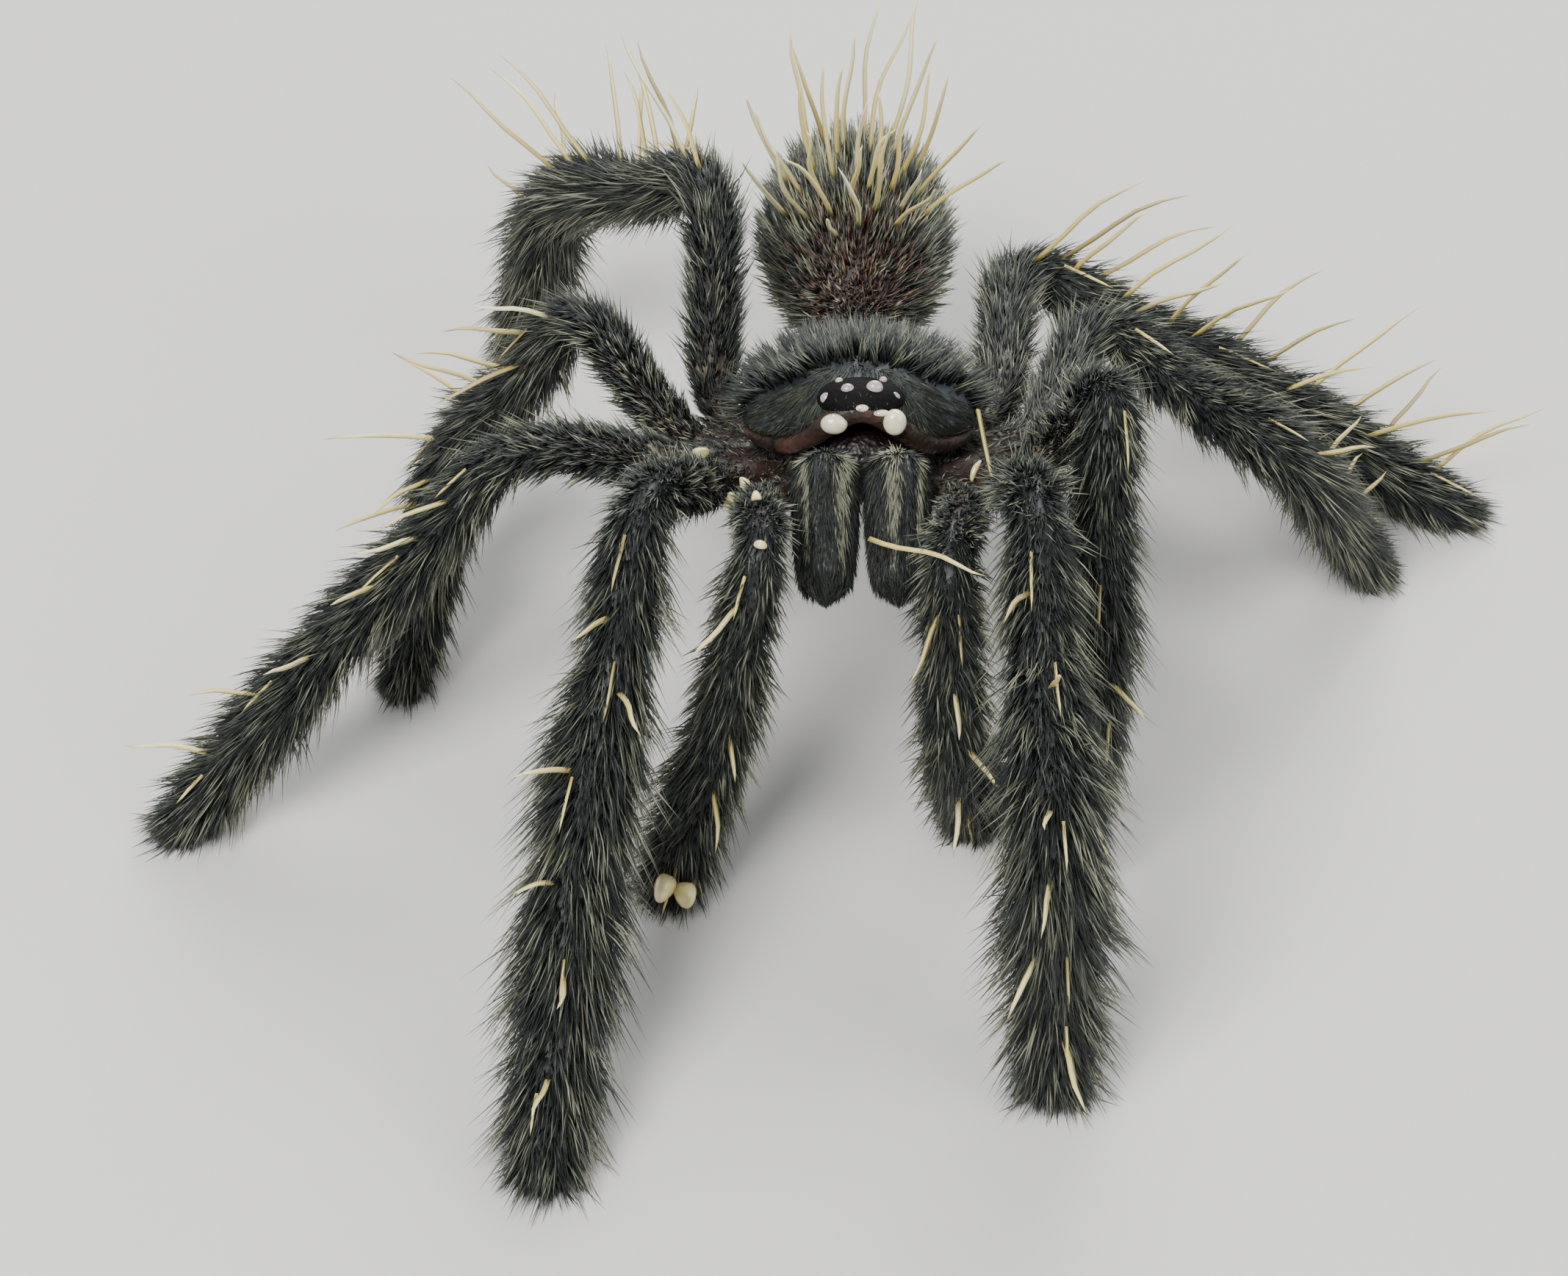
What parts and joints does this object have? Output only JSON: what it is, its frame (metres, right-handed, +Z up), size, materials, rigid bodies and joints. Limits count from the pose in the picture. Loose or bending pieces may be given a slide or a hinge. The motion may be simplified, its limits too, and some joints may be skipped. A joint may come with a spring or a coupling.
{
  "type": "tarantula specimen",
  "caption": "Dried hairy tarantula standing on its own feet, body raised at the front, with long straw bristles on abdomen and rear legs, for display or study.",
  "frame": {"origin": "on the surface that the feet stand on, under the middle of the part's box", "axes": "+Z up, -Y the way the spider faces, +X the spider's own left"},
  "size_m": [0.051, 0.0462, 0.0178],
  "materials": {
    "fur": "dense slate-black fur with grey-green tips",
    "shell": "satin slate-black shell with a short nap",
    "underside": "dark red-brown skin, thinly haired",
    "fang": "polished black"
  },
  "bodies": {
    "root": {"carapace": "shell", "sternum": "underside", "pedicel": "underside", "abdomen": "fur", "chelicera_left": "fur", "chelicera_right": "fur", "fang_left": "fang", "fang_right": "fang", "palp_left": "fur", "palp_right": "fur", "leg_1_left": "fur", "leg_1_right": "fur", "leg_2_left": "fur", "leg_2_right": "fur", "leg_3_left": "fur", "leg_3_right": "fur", "leg_4_left": "fur", "leg_4_right": "fur", "spinneret_left": "underside", "spinneret_right": "underside"}
  },
  "joints": []
}
